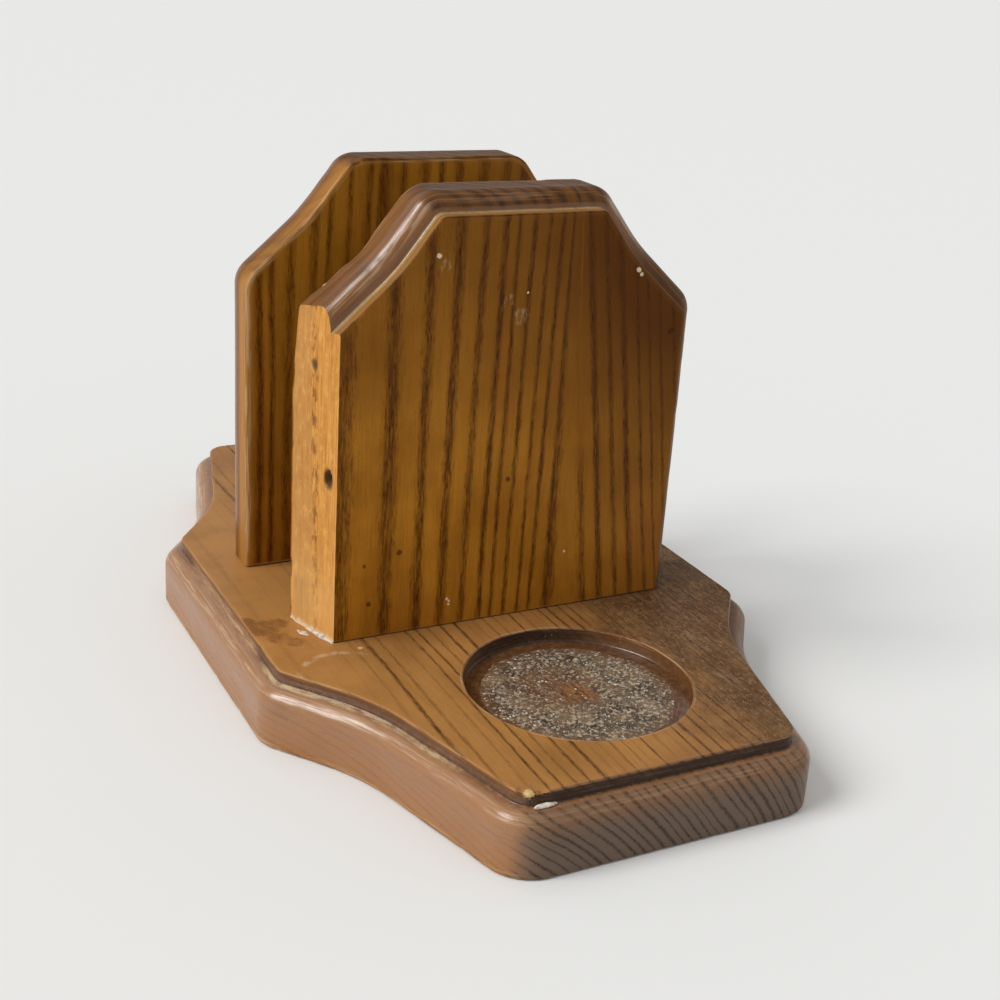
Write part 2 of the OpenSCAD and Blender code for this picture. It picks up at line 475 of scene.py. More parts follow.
# %% Cut the split and cap it
SPLIT_FRONT = Vector((PANEL_X - PANEL_W / 2 + ROUND + SPLIT_IN, FACE_Y, BASE_T))
SPLIT_REAR = Vector((PANEL_X - PANEL_W / 2 + SPLIT_BACK_IN, -SLOT / 2, BASE_T))
split_along = (SPLIT_REAR - SPLIT_FRONT).normalized()
split_out = Vector((-split_along.y, split_along.x, 0))
SPLIT_W = (SPLIT_REAR - SPLIT_FRONT).length
GRID_UP, GRID_ACROSS = 1.1, 0.75
TORN_FROM, TORN_TO, TORN_IN = 66.0, 86.0, 1.4  # heights above the base, and the extra depth
TORN_LEAN = 7.0  # how much higher that second plane starts at the front


def cut_away(mesh, origin, outward):
    """Cuts off what lies outside a plane and caps the cut with raw wood."""
    geometry = mesh.verts[:] + mesh.edges[:] + mesh.faces[:]
    cut = bmesh.ops.bisect_plane(
        mesh, geom=geometry, dist=1e-6, plane_co=origin, plane_no=outward, clear_outer=True
    )
    rim = [part for part in cut["geom_cut"] if isinstance(part, bmesh.types.BMEdge)]
    for face in bmesh.ops.contextual_create(mesh, geom=rim)["faces"]:
        face.material_index = 1


def slice_faces(mesh, faces, origin, normal):
    """Divides only these faces along a plane and returns all of them."""
    geometry = list({part for f in faces for part in (f, *f.edges, *f.verts)})
    cut = bmesh.ops.bisect_plane(
        mesh, geom=geometry, dist=1e-6, plane_co=origin, plane_no=normal
    )
    return [part for part in cut["geom"] if isinstance(part, bmesh.types.BMFace)]


front_skin = panel_skin(-1)
mesh = front_skin.mesh
cut_away(mesh, SPLIT_FRONT, split_out)
torn_low = SPLIT_REAR + Vector((0, 0, TORN_FROM))
torn_high = SPLIT_REAR + Vector((TORN_IN, 0, TORN_TO))
torn_front = SPLIT_FRONT + Vector((0, 0, TORN_TO + TORN_LEAN))
torn_out = (torn_high - torn_low).cross(torn_front - torn_low).normalized()
if torn_out.x > 0:
    torn_out = -torn_out
cut_away(mesh, torn_low, torn_out)
cap = [face for face in mesh.faces if face.material_index == 1]
print("raw faces before dividing:", len(cap))
for height in np.arange(BASE_T + GRID_UP, BASE_T + PANEL_H, GRID_UP):
    cap = slice_faces(mesh, cap, Vector((0, 0, height)), Vector((0, 0, 1)))
for along in np.arange(GRID_ACROSS, SPLIT_W, GRID_ACROSS):
    cap = slice_faces(mesh, cap, SPLIT_FRONT + split_along * along, split_along)
for face in cap:
    face.material_index = 1
print("panel is closed:", front_skin.closed(), "with", len(cap), "faces on the split")

# %% [markdown]
# Chips and knocks on the front panel are few: white specks at the top of the left moulding, a
# nick near the right shoulder, and the ragged upper end of the split. Hands have rounded the rear
# edge of the left shoulder.

# %% Wear the front panel, then roughen the split
front_chips = [
    (-51.5, -27.5, 108.0, 1.4, 0.5),
    (-23.6, -35.6, 129.4, 1.5, 0.35),
    (35.5, -35.4, 118.0, 1.5, 0.5),
    (-47.5, -35.5, 108.5, 1.0, 0.3),
    (50.2, -35.5, 92.0, 1.2, 0.3),
]
LEFT_X, SHOULDER_Z, BACK_Y = PANEL_X - PANEL_W / 2, BASE_T + shoulder, -SLOT / 2
shoulder_edge = [
    Vector((LEFT_X + 0.5, BACK_Y, SHOULDER_Z - 1)),
    Vector((LEFT_X + PANEL_BEND_IN - 2, BACK_Y, SHOULDER_Z + PANEL_BEND_UP - 1)),
    Vector((PANEL_X - PANEL_TOP_W / 2 - 1, BACK_Y, BASE_T + PANEL_H - 1)),
]
front_rubs = [
    (shoulder_edge[0].lerp(shoulder_edge[1], 0.6), shoulder_edge[1], 7.0, 0.5),
    (shoulder_edge[1], shoulder_edge[2], 6.0, 0.6),
]
cap_points = {v for f in mesh.faces if f.material_index == 1 for v in f.verts}
weather(front_skin, front_chips, front_rubs, seed=5.0)
KNOT_ACROSS, KNOT_UP, KNOT_DEPTH = 3.9, 65.6, 2.6
for v in cap_points:
    rel = v.co - SPLIT_FRONT
    across, up = rel.dot(split_along), v.co.z
    fibre = noise.noise(Vector((across * 0.9, up * 0.06, 2.0)))
    fine = noise.noise(Vector((across * 2.5, up * 0.2, 7.0)))
    sink = 0.22 + 0.3 * fibre + 0.14 * fine
    hole = math.hypot((across - KNOT_ACROSS) / 1.25, (up - KNOT_UP) / 2.2)
    inner = not v.is_boundary and all(f.material_index == 1 for f in v.link_faces)
    if inner:
        v.co -= split_out * (max(0.0, sink) + KNOT_DEPTH * max(0.0, 1 - hole * hole))
    else:
        v.co -= split_out * max(0.0, 0.12 * fibre + 0.1 * fine)
front = finished_object("front_panel_wood", front_skin)

rear_skin = panel_skin(1)
rear_chips = [(-26.5, 18.5, 137.4, 1.6, 0.4), (50.0, 22.0, 104.6, 1.6, 0.5)]
weather(rear_skin, rear_chips, seed=9.0)
rear = finished_object("rear_panel_wood", rear_skin)

# %% [markdown]
# ## Finishes as Python expressions
# A node tree is easiest to read as arithmetic. `Wire` wraps one output socket and overloads the
# operators, so `1 - mask` or `ring * 0.5 + grain` adds the Math nodes by itself. Colours and
# vectors go through Mix and Vector Math. Every other node comes from `Finish.node`. A finish is
# painted in thin coats, each laid over the colour so far through a mask from 0 to 1. Positions are
# in millimetres, so noise of `x / 26` makes clouds about 26 mm wide.


# %% The socket class
def maths(operation, swapped=False):
    """A method that adds one Math node."""

    def method(self, other=0.0):
        first, second = (other, self) if swapped else (self, other)
        inputs = {0: first, 1: second}
        return self.finish.node("ShaderNodeMath", {"operation": operation}, inputs)

    return method


class Wire:
    """One output of a shader node, used like a number."""

    __add__ = __radd__ = maths("ADD")
    __mul__ = __rmul__ = maths("MULTIPLY")
    __sub__, __rsub__ = maths("SUBTRACT"), maths("SUBTRACT", swapped=True)
    __truediv__, __abs__ = maths("DIVIDE"), maths("ABSOLUTE")
    larger, smaller = maths("MAXIMUM"), maths("MINIMUM")
    floor, root = maths("FLOOR"), maths("SQRT")

    def __init__(self, finish, socket):
        self.finish, self.socket = finish, socket

    def also(self, name):
        """Another output of the same node."""
        return Wire(self.finish, self.socket.node.outputs[name])

    def between(self, low, high):
        """0 at low and 1 at high, with a soft start and end."""
        settings = {"interpolation_type": "SMOOTHSTEP"}
        inputs = {"Value": self, "From Min": low, "From Max": high}
        return self.finish.node("ShaderNodeMapRange", settings, inputs)

    def band(self, low, high, soft):
        """1 from low to high, fading out over a width of soft at both ends."""
        return self.between(low - soft, low) * (1 - self.between(high, high + soft))


class Finish:
    """A material being made. Positions are in millimetres."""

    def __init__(self, name):
        self.material = bpy.data.materials.new(name)
        self.material.use_nodes = True
        self.tree = self.material.node_tree
        self.tree.nodes.clear()
        self.colour = None

    def node(self, kind, settings=None, inputs=None, output=0):
        made = self.tree.nodes.new(kind)
        for key, value in (settings or {}).items():
            setattr(made, key, value)
        for key, value in (inputs or {}).items():
            socket = made.inputs[key]
            if isinstance(value, Wire):
                self.tree.links.new(value.socket, socket)
            else:
                socket.default_value = value
        return Wire(self, made.outputs[output])

    def curve(self, value, places):
        """A number that follows straight runs through (position, result), both from 0 to 1."""
        wire = self.node("ShaderNodeValToRGB", None, {0: value})
        elements = wire.socket.node.color_ramp.elements
        while len(elements) < len(places):
            elements.new(1.0)
        for element, (position, result) in zip(elements, places):
            element.position = position
            element.color = (result, result, result, 1)
        return wire

    def vector(self, x, y, z):
        return self.node("ShaderNodeCombineXYZ", None, {0: x, 1: y, 2: z})

    def parts(self, vector):
        x = self.node("ShaderNodeSeparateXYZ", None, {0: vector})
        return x, x.also("Y"), x.also("Z")

    def measured(self, operation, first, second=(0, 0, 0)):
        """One number from vectors, such as the distance between two."""
        settings, inputs = {"operation": operation}, {0: first, 1: second}
        return self.node("ShaderNodeVectorMath", settings, inputs, 1)

    def mix(self, share, first, second):
        inputs = {0: share, 6: first, 7: second}
        return self.node("ShaderNodeMix", {"data_type": "RGBA"}, inputs, 2)

    def paint(self, share, coat):
        """Lays a coat over the colour so far."""
        self.colour = self.mix(share, self.colour, coat)

    def noise(self, x, y, z, detail=2.0, rough=0.5):
        inputs = {"Vector": self.vector(x, y, z), "Scale": 1.0}
        inputs.update({"Detail": detail, "Roughness": rough})
        return self.node("ShaderNodeTexNoise", None, inputs)

    def cells(self, x, y, z):
        """Distance to the nearest of scattered points, about one in each unit cube."""
        inputs = {"Vector": self.vector(x, y, z), "Scale": 1.0, "Randomness": 1.0}
        return self.node("ShaderNodeTexVoronoi", None, inputs)

    def flecks(self, x, y, z, reach, share):
        """Specks of radius reach round a share of the scattered points."""
        away = self.cells(x, y, z)
        luck = self.parts(away.also("Color"))[0]
        return (1 - away.between(reach * 0.6, reach)) * (luck - (1 - share)).between(0.0, 0.02)

    def spots(self, place, listed):
        """Ragged spots at listed (x, y, z, radius)."""
        found = None
        ragged = self.noise(*(part * 1.3 for part in place)) - 0.5
        for x, y, z, radius in listed:
            away = self.measured("DISTANCE", self.vector(*place), (x, y, z))
            mask = 1 - (away / radius + ragged * 0.9).between(0.7, 1.1)
            found = mask if found is None else found.larger(mask)
        return found

    def mask(self, name):
        return self.node("ShaderNodeAttribute", {"attribute_name": name}, None, "Fac")

    def place(self):
        """Object position, as three numbers."""
        spot = self.node("ShaderNodeTexCoord", None, None, "Object")
        return [part * (1 / MM) for part in self.parts(spot)]

    def bump(self, relief, strength, depth):
        inputs = {"Strength": strength, "Distance": depth * MM, "Height": relief}
        return self.node("ShaderNodeBump", None, inputs)

    def close(self, **sockets):
        """Ends the tree in a Principled shader. Underscores in names stand for spaces."""
        named = {key.replace("_", " "): value for key, value in sockets.items()}
        shader = self.node("ShaderNodeBsdfPrincipled", None, named)
        end = self.tree.nodes.new("ShaderNodeOutputMaterial")
        self.tree.links.new(shader.socket, end.inputs["Surface"])
        print("finish", self.material.name, "has", len(self.tree.nodes), "nodes")
        return self.material


def seen(red, green, blue):
    """A colour as it looks on a screen, 0 to 255, turned into the linear value nodes use."""
    linear = [
        v / 12.92 if v <= 0.04045 else ((v + 0.055) / 1.055) ** 2.4
        for v in (red / 255, green / 255, blue / 255)
    ]
    return (*linear, 1.0)


# %% [markdown]
# ## Ring-porous wood
# Growth rings are cylinders round the tree's pith. Where a board's face runs nearly along a ring,
# the stripes on it are wide; where it cuts across, they are narrow. So one solid texture, with the
# pith placed beside each board, gives matching stripes on faces, edges and end grain. The early
# wood of each ring is full of large pores that soaked up stain, which makes the dark stripes: they
# are made of short dashes, so their borders are ragged.


# %% Wood texture
def wood_grain(f, along, pith, rings, seed, sway=1.0, width=0.13, lean=None):
    """Masks of one board. rings turns a radius into a number of rings. Lengths in millimetres."""
    place = x, y, z = f.place()
    if lean:
        x = lean(f, x, z)
    left, right, long = {"z": (x, y, z), "y": (x, z, y)}[along]
    slow = f.noise(left / 60 + seed, right / 60, long / 150, 2.0, 0.45) - 0.5
    quick = f.noise(left / 9, right / 9 + seed, long / 40) - 0.5
    off_left = left - pith[0] + (slow * 4 + quick * 1.5) * sway
    off_right = right - pith[1] + slow * (2 * sway)
    radius = (off_left * off_left + off_right * off_right).root()
    nx, ny, nz = f.parts(f.node("ShaderNodeTexCoord", None, None, "Normal"))
    lengthwise, flatwise = {"z": (nz, ny), "y": (ny, nz)}[along]
    level = (lengthwise * lengthwise + nx * nx).root().larger(0.05)
    across_end = (abs(lengthwise) / level + quick * 0.3).between(0.6, 1.0)
    end = across_end * (1 - abs(flatwise).between(0.93, 0.99))

    frayed = f.noise(left * 2.0, right * 2.0, long / 3.5, 4.0, 0.65) - 0.5
    count = rings(f, radius, seed) + frayed * 0.42
    number = (count + 0.5).floor()
    luck = f.node("ShaderNodeTexWhiteNoise", {"noise_dimensions": "1D"}, {"W": number + seed})
    half_width = luck * 0.1 + end * 0.07 + width
    soft = f.noise(left / 4 + 5, right / 4, long / 22)
    stripe = 1 - (abs(count - number) / half_width).between(0.1, 1.6)
    broken = f.noise(left * 1.7 + 3, right * 1.7, long / 6, 3.0, 0.6).between(0.32, 0.56)
    stripe = stripe * (luck * 0.3 + 0.38 + soft * 0.7).smaller(1.0) * (broken * 0.5 + 0.5)

    vessels = f.cells(left * 2.1, right * 2.1, long / 2.6)
    patchy = f.noise(left * 0.9, right * 0.9, long / 9, 3.0, 0.6)
    in_stripe = (1 - vessels.between(0.15, 0.5)) * stripe * patchy.between(0.3, 0.55)
    thin = f.cells(left * 3.3, right * 3.3, long / 1.7)
    elsewhere = (1 - thin.between(0.04, 0.3)) * patchy.between(0.42, 0.66) * 0.5

    return {
        "stripe": stripe,
        "number": number,
        "luck": luck,
        "pores": in_stripe.larger(elsewhere),
        "fibre": f.noise(left * 2.4, right * 2.4, long / 10, 3.0, 0.6),
        "flame": f.noise(left / 5, right / 5, long / 30),
        "end": end,
        "tilt": abs(lengthwise) / level,
        "up": nz.between(0.7, 0.95),
        "place": place,
    }


# %% [markdown]
# ## Where the rings lie
# On the front face most stripes were read from the photograph, so a curve turns the distance from
# the pith into a count of rings with one at each place that was read. The other boards only follow
# the same kind of wood, and even rings are enough for them.


# %% Even rings, and the measured rings of the front panel
def even_rings(width):
    """Rings of one average width that come out a little wider and narrower by turns."""

    def rings(f, radius, seed):
        lumpy = f.noise(radius / 9 + seed, seed, 0.0, 1.0)
        return radius / width + (lumpy - 0.5) * 2.0

    return rings


FRONT_PITH = (PANEL_X - 55.25, -80.0)
STRIPES = [-50, -37.4, -28.1, -20.8, -14.2, -8.6, -5.1, -0.9, 3.6, 7.3, 11.6, 19.8]
STRIPES += [24.5, 29.9, 34.6, 39.5, 43.0, 46.6]  # places on the front face
READ_AT = 66  # the height at which they were read
LATE_STRIPE = STRIPES.index(19.8) + 1  # this one only shows on the lower half
radii = [math.hypot(x - FRONT_PITH[0], FACE_Y - FRONT_PITH[1]) for x in STRIPES]
radii += [radii[-1] + 4 * k for k in range(1, 6)]  # evenly on, past the right edge
RING_FROM, RING_SPAN = 38.0, 96.0
LEAN_REACH, LEAN_SLOPE = 60, 0.28  # half the width that the leaning covers, and its steepest slope
LEAN = [(0.0, 0.5), (0.25, 0.52), (0.58, 0.6), (0.68, 0.1), (0.85, 0.0), (1.0, 0.0)]


def front_rings(f, radius, seed):
    total = len(radii) + 1
    steps = [((r - RING_FROM) / RING_SPAN, (k + 1) / total) for k, r in enumerate(radii)]
    return f.curve((radius - RING_FROM) / RING_SPAN, [(0.0, 0.0), *steps, (1.0, 1.0)]) * total


def front_lean(f, x, z):
    """The stripes lean one way left of the middle and the other way right of it."""
    straight = x
    for _ in range(3):
        slope = f.curve((straight + LEAN_REACH) / (2 * LEAN_REACH), LEAN)
        straight = x - (slope - 0.5) * LEAN_SLOPE * (z - READ_AT)
    return straight


print("ring radii on the front panel:", [round(r, 1) for r in radii])

# %% [markdown]
# ## Stain and lacquer
# The stain is golden brown on the panels, greyer on the base, redder where the router left the
# wood shiny, and dark where end grain drank it. The base's upright step is dark too, and along the
# foot of the panels' step a pale line is painted highlight. Pale streaks on the round-overs are
# partly wear and partly painted highlight, and the right side's moulding is painted darker as
# painted shade. The lacquer over it all is still glossy on the mouldings and has worn to a dull
# satin on the flats. One function makes all three boards, and a dictionary of dyes says where they
# differ.


# %% Coats of stain
def flat_coats(f, g, dye, dark):
    """Stain on the flats, painted deeper where dark says, partly as painted shade, with the growth
    stripes and pores over it.
    """
    x, y, z = g["place"]
    cloud = f.noise(x / 26, y / 26, z / 26, 3.0, 0.55)
    f.colour = f.mix(cloud.between(0.35, 0.7), dye["light"], dye["second"])
    f.paint(g["flame"].between(0.4, 0.8) * 0.25, dye["deep"])
    f.paint(dark, dye["deep"])
    f.paint(g["fibre"].between(0.42, 0.8) * 0.26, dye["stripe"])
    f.paint(g["stripe"] * 0.92, dye["stripe"])
    f.paint(g["pores"] * 0.85, dye["pore"])


def edge_coats(f, g, dye, moulding, shelter, riser, streaks):
    """Stain on the moulding and the end grain, then on the step, and a painted highlight along its
    foot.
    """
    routed = f.mix(streaks.between(0.38, 0.7) * 0.6, dye["edge"], dye["edge_dark"])
    routed = f.mix(g["stripe"] * dye["crossed"], routed, dye["edge_dark"])
    level = 1 - g["tilt"].between(0.3, 0.6) * dye["shoulder"]
    flank = (1 - moulding.between(0.87, 0.97)) * level
    routed = f.mix(flank * 0.85, routed, f.mix(streaks * 0.5, dye["flank"], dye["edge_dark"]))
    f.paint(moulding * 0.94, routed)
    drunk = f.mix(g["stripe"] * 0.85, dye["end"], dye["end_dark"])
    drunk = f.mix(g["pores"] * 0.35, drunk, dye["end_dark"])
    f.paint(g["end"] * 0.92, drunk)
    stepped = f.mix(g["end"] * dye["drinks"], dye["riser"], dye["end_dark"])
    f.paint(riser * (1 - streaks.between(0.45, 0.75) * 0.5), stepped)
    # Painted highlight: a pale line along the foot of the step, where the ledge catches the light.
    pale_line = shelter.between(0.45, 0.95) * (0.4 + streaks.between(0.35, 0.6) * 0.6)
    f.paint(pale_line * dye["crease_highlight"], seen(216, 186, 136))


# %% Stained wood
def stained_wood(name, grain, dye, shade, extra=None):
    """shade tells where the flats are painted darker, partly as painted shade; extra paints a
    board's marks.
    """
    f = Finish(name)
    g = grain(f)
    x, y, z = g["place"]
    moulding, wear, shelter, riser, distance, trip_x, trip_y = (f.mask(m) for m in Skin.MASKS)
    grit = f.noise(x * 0.55, y * 0.55, z * 0.55, 4.0, 0.65)
    fine = f.noise(x * 3.2, y * 3.2, z * 3.2, 3.0, 0.7)
    streaks = f.noise(trip_x / 14, trip_y / 14, distance * 1.7, 4.0, 0.65)

    flat_coats(f, g, dye, shade(f, g))
    edge_coats(f, g, dye, moulding, shelter, riser, streaks)
    f.paint(fine.between(0.45, 0.85) * 0.3, dye["deep"])
    # Pale streaks on the round-over and the eased edges: worn lacquer, and partly a painted
    # highlight where those edges catch the light.
    bare = wear.between(0.2, 0.5) * streaks.between(0.46, 0.6) * (1 - g["end"] * 0.7)
    f.paint(bare * dye["worn"], seen(216, 182, 142))
    # Painted darker in the sheltered corner under the step and in the recesses, broken by grit
    # noise.
    crevice_dark = shelter * grit.between(0.3, 0.6) * 0.6
    f.paint(crevice_dark * dye["crevice_dark"], seen(50, 31, 19))
    gloss = 0.38 + (fine - 0.5) * 0.3 + (grit - 0.5) * 0.25 + g["pores"] * 0.2
    relief = (1 - g["pores"]) * 0.6 + g["fibre"] * 0.14 + (1 - g["stripe"]) * 0.15 + fine * 0.12
    if extra:
        gloss, relief = extra(f, g, gloss, relief)
    # Painted shade: the right side's moulding is painted darker, and its lacquer is thinned there.
    far_start, far_full, far_shade_colour = dye["far_side_shade"]
    far = x.between(far_start, far_full)
    f.paint(moulding * far * 0.6, far_shade_colour)
    shiny = moulding.between(dye["shine_from"], 1.0) * (1 - g["end"] * 0.8) * (1 - far * 0.85)
    return f.close(
        Base_Color=f.colour,
        Roughness=gloss,
        Normal=f.bump(relief, 0.35, 0.22),
        Coat_Weight=shiny * (streaks.between(0.3, 0.6) * 0.8 + 0.2) * dye["gloss"] + 0.02,
        Coat_Roughness=0.25,
        Coat_IOR=1.7,
        Specular_IOR_Level=dye["sheen"],
    )


# %% The dyes
DYES = {  # first for the panels, then for the base
    "light": (seen(190, 127, 38), seen(180, 128, 70)),
    "second": (seen(166, 107, 28), seen(164, 115, 62)),
    "deep": (seen(90, 50, 9), seen(122, 80, 38)),
    "stripe": (seen(80, 42, 7), seen(88, 54, 26)),
    "pore": (seen(44, 22, 4), seen(48, 28, 12)),
    "edge": (seen(132, 84, 38), seen(160, 114, 76)),
    "edge_dark": (seen(78, 44, 16), seen(126, 82, 52)),
    "flank": (seen(184, 130, 68), seen(164, 116, 78)),  # the upright side below the moulding
    "shoulder": (0.85, 0.0),  # how far the sloping shoulders miss that colour
    "end": (seen(96, 58, 24), seen(124, 93, 70)),
    "end_dark": (seen(44, 25, 9), seen(46, 33, 25)),
    "riser": (seen(152, 108, 58), seen(112, 74, 44)),  # colour of the upright step
    "crease_highlight": (0.6, 0.0),  # how much painted highlight lies along the foot of that step
    "drinks": (0.0, 0.9),  # how much darker that step is where it cuts the ends of the fibres
    "crossed": (0.2, 0.12),  # how clearly the stripes cross the moulding
    # how much the sheltered corners and recesses are painted darker
    "crevice_dark": (0.4, 1.0),
    # strength of the pale streaks on worn edges, which are partly painted highlight
    "worn": (0.38, 0.4),
    "gloss": (1.0, 0.8),  # weight of the lacquer on the round-over
    "shine_from": (0.93, 0.7),  # the moulding mask from which the lacquer is glossy
    # painted shade: the right side's moulding is painted darker, and its lacquer is duller
    "far_side_shade": ((24, 44, seen(72, 44, 20)), (30, 60, seen(80, 56, 38))),
    "sheen": (0.05, 0.1),
}
PANEL_DYE, BASE_DYE = ({key: pair[k] for key, pair in DYES.items()} for k in (0, 1))
print("dyes of a board:", len(PANEL_DYE))

# %% [markdown]
# ## Marks of the base board
# Years at table have left the right-hand part of the top scuffed along the grain and scratched,
# and it is painted brown, partly as dirt and partly as the painted shadow of the front panel. On
# the left the wood is clean, with a wet stain, a faint ring from a glass, and rubbed runs in the
# step.
# Each mark is one coat, and its mask says where it lies.

# %% Marks of the base board
GLASS_RING = (-54.5, -53.0, 12.0)  # a faint pale ring a wet glass left: x, y, radius
RAW_CHIPS = [(-36.4, -118.2, 20.0, 1.6), (-71.8, -28.0, 19.0, 1.3), (-46.0, -40.5, 20.0, 0.8)]
WET_STAINS = [(-66.5, -21.0, 20.0, 5.0), (-62.0, -19.5, 20.0, 3.5), (-64.0, -28.0, 20.0, 3.5)]
WET_STAINS += [(-61.0, -31.5, 20.0, 2.8), (-69.5, -16.0, 20.0, 3.0)]


def scratches(f, x, y, turn, share):
    """Short fine scratches that lie one way on a flat top."""
    across = x * math.cos(turn) + y * math.sin(turn)
    down = y * math.cos(turn) - x * math.sin(turn)
    return f.flecks(across * 0.16, down * 2.6, 0.0, 0.2, share)


def base_edge_marks(f, g, blotch):
    """Clean and polished runs of the step, raw chips, and dirt low on the end grain."""
    x, y, z = g["place"]
    shelter, riser = f.mask("shelter"), f.mask("riser")
    ledge = shelter.between(0.1, 0.4) * (1 - riser.between(0.05, 0.4))
    rubbed = f.noise(f.mask("trip_x") / 7, f.mask("trip_y") / 7, f.mask("distance"), 4.0, 0.6)
    left = 1 - x.between(-46, -36)
    clean = shelter * y.band(-24, 26, 8) * left
    f.paint(clean * 0.75, BASE_DYE["edge"])
    f.paint(clean * rubbed.between(0.38, 0.6) * 0.5, seen(214, 178, 136))
    # Dried polish lies in the step along the left front bend.
    pale_line = ledge * y.band(-92, -42, 12) * left * (0.35 + blotch.between(0.36, 0.58) * 0.65)
    f.paint(pale_line * rubbed.between(0.36, 0.56) * 0.85, seen(212, 186, 146))
    f.paint(f.spots(g["place"], RAW_CHIPS) * 0.8, seen(224, 190, 132))
    dirty = g["end"] * (1 - z.between(8, 15))
    f.paint(dirty * 0.7, f.mix(g["stripe"], seen(100, 88, 78), seen(48, 40, 36)))


def base_marks(f, g, gloss, relief):
    x, y, z = g["place"]
    top = g["up"] * z.between(BASE_T - 1.5, BASE_T - 0.6)
    worn = f.noise(x / 14, y / 14, z / 14, 4.0, 0.6)
    blotch = f.noise(x / 6, y / 9, z / 6, 5.0, 0.7)
    right = (x + (worn - 0.5) * 40 + y * 0.05).between(4, 32)
    # Painted brown on the right: dirt, and the painted shadow of the front panel.
    soiled_and_shaded = top * right
    plain = 1 - x.between(-56, -42)
    pale = f.mix(worn.between(0.35, 0.7), BASE_DYE["light"], BASE_DYE["second"])
    f.paint(plain * top * 0.8, pale)
    faint = g["stripe"] * (1 - g["luck"].between(0.35, 0.6))
    f.paint(top * (1 - right) * faint * 0.8, pale)
    dirt = f.mix(blotch.between(0.36, 0.62), seen(108, 81, 55), seen(74, 49, 31))
    f.paint(soiled_and_shaded * (0.82 - g["stripe"] * 0.5), dirt)
    haze = f.noise(x / 3.5, y / 14, 2.0, 5.0, 0.7).between(0.52, 0.68)
    f.paint(top * haze * (right * 0.24 + 0.05), seen(156, 134, 108))
    f.paint(soiled_and_shaded * g["stripe"] * 0.6, seen(62, 41, 26))
    scuffs = f.noise(x * 1.1, y * 0.36, 5.0, 6.0, 0.8)
    f.paint(soiled_and_shaded * scuffs.between(0.51, 0.6) * 0.6, seen(64, 43, 27))
    f.paint(soiled_and_shaded * (1 - scuffs.between(0.36, 0.46)) * 0.5, seen(182, 140, 92))
    lines = scratches(f, x, y, 0.5, 0.5).larger(scratches(f, x, y, -0.4, 0.45))
    lines = lines.larger(scratches(f, x * 1.6, y * 1.6, 1.1, 0.5)) * worn.between(0.38, 0.55)
    f.paint(top * lines * (right * 0.34 + 0.08), seen(196, 172, 140))
    dust = f.noise(x * 1.7, y * 1.7, z * 1.7, 2.0, 0.6).between(0.68, 0.74)
    near_panel = 1 - (abs(y) + FACE_Y).between(0.2, 2.0)
    settled = (0.22 + right * 0.15 + near_panel * 0.5) * worn.between(0.35, 0.6)
    f.paint(dust * settled, seen(230, 214, 188))

    ring_x, ring_y, ring_r = GLASS_RING
    away = f.measured("DISTANCE", f.vector(x, y, 0.0), (ring_x, ring_y, 0.0)) - ring_r
    stain = f.spots(g["place"], WET_STAINS) * (blotch.between(0.34, 0.56) * 0.7 + 0.3)
    f.paint(top * stain * 0.62, seen(100, 62, 30))
    smear = f.noise(x * 0.3, y * 0.18, z * 0.3, 5.0, 0.75)
    ring = (1 - abs(away).between(0.2, 1.4)) * (y - x * 0.4).between(-30, -16)
    f.paint(top * ring * smear.between(0.4, 0.6) * 0.6, seen(218, 190, 150))

    base_edge_marks(f, g, blotch)
    return gloss + soiled_and_shaded * 0.16, relief - lines * 0.25


def base_shade(f, g):
    x, y, z = g["place"]
    return x.between(-60, -44) * 0.05 + f.noise(x / 40, y / 40, z / 40).between(0.5, 0.8) * 0.3


base.data.materials.append(
    stained_wood(
        "base_stain",
        lambda f: wood_grain(f, "y", (-95.0, -70.0), even_rings(2.2), 3.1, 1.0, 0.05),
        BASE_DYE,
        base_shade,
        base_marks,
    )
)

# %% [markdown]
# ## Marks of the front panel
# The face has a few white specks where the finish has chipped off, pale smears of dried glue and
# dark dots. The face is painted darker towards the top and the right, partly the stain's own tone
# and partly painted shade, and a touch lighter low on the left as painted light.


# %% Marks of the front panel
def on_face(*spots):
    """Spots (x, z, radius) on the front face, as (x, y, z, radius)."""
    return [(x, FACE_Y, z, radius) for x, z, radius in spots]


WHITE_CHIPS = [(-50.0, -18.4, 113.5, 0.9)]  # this one is on the shoulder
WHITE_CHIPS += on_face((-25.9, 123.2, 0.7), (33.0, 116.6, 0.8), (34.0, 115.4, 0.6))
WHITE_CHIPS += on_face((-18.9, 27.9, 0.45), (-18.3, 27.2, 0.4), (-18.4, 26.2, 0.4))
WHITE_CHIPS += on_face((-0.2, 112.4, 0.4), (17.0, 37.0, 0.4))
PALE_SMEARS = on_face((-24.2, 120.6, 1.8), (-5.6, 110.4, 2.0), (-1.6, 106.0, 2.6))
DARK_DOTS = on_face((-33.6, 43.8, 0.9), (-42.0, 30.0, 0.8), (-43.5, 41.2, 0.6))
DARK_DOTS += on_face((45.2, 99.0, 1.1), (-2.4, 61.0, 0.8))


def front_shade(f, g):
    # Painted shade and light: darker towards the top, and low down towards the right, and a touch
    # lighter at the left; part of it is the stain's own tone.
    x, _, z = g["place"]
    low = x.between(-30, 0) * 0.08
    return low + z.between(48, 132) * 0.66 + x.between(-4, 46) * z.between(20, 70) * 0.5


